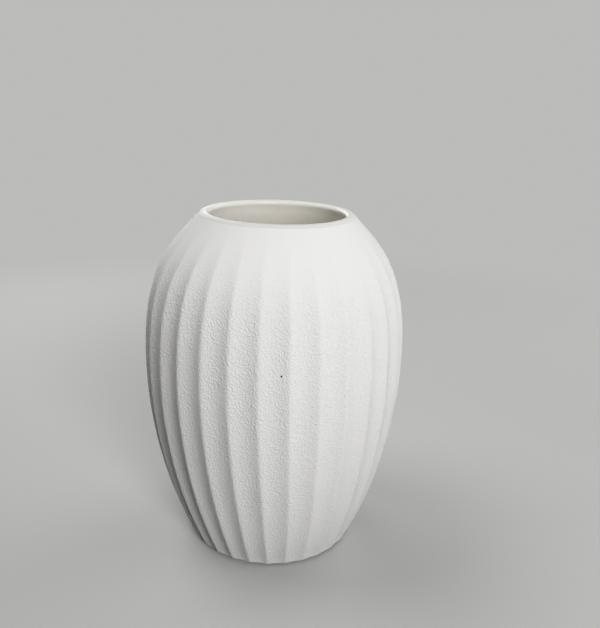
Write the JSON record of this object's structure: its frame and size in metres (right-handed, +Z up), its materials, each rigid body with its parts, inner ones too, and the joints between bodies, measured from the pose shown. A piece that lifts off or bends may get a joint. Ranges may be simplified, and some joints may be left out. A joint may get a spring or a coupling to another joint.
{
  "type": "urn vase",
  "caption": "Egg-shaped stoneware urn vase with hollow upright flutes, a sandy matt outside, a wide mouth with a rounded lip, a glazed watertight inside and felt pads under its foot.",
  "frame": {"origin": "on the table, under the middle of the foot", "axes": "+Z up along the vase's upright axis; +X through an arris at the belly; the picture's view looks roughly along +Y"},
  "size_m": [0.1896, 0.1886, 0.25],
  "materials": {
    "sandy_stoneware": "matt, with a sandy grain",
    "satin_glaze": "smooth satin",
    "grey_felt": "pressed felt"
  },
  "bodies": {
    "root": {"fluted_body": "sandy_stoneware", "glaze_lining": "satin_glaze", "felt_pad_1": "grey_felt", "felt_pad_2": "grey_felt", "felt_pad_3": "grey_felt", "felt_pad_4": "grey_felt"}
  },
  "joints": []
}
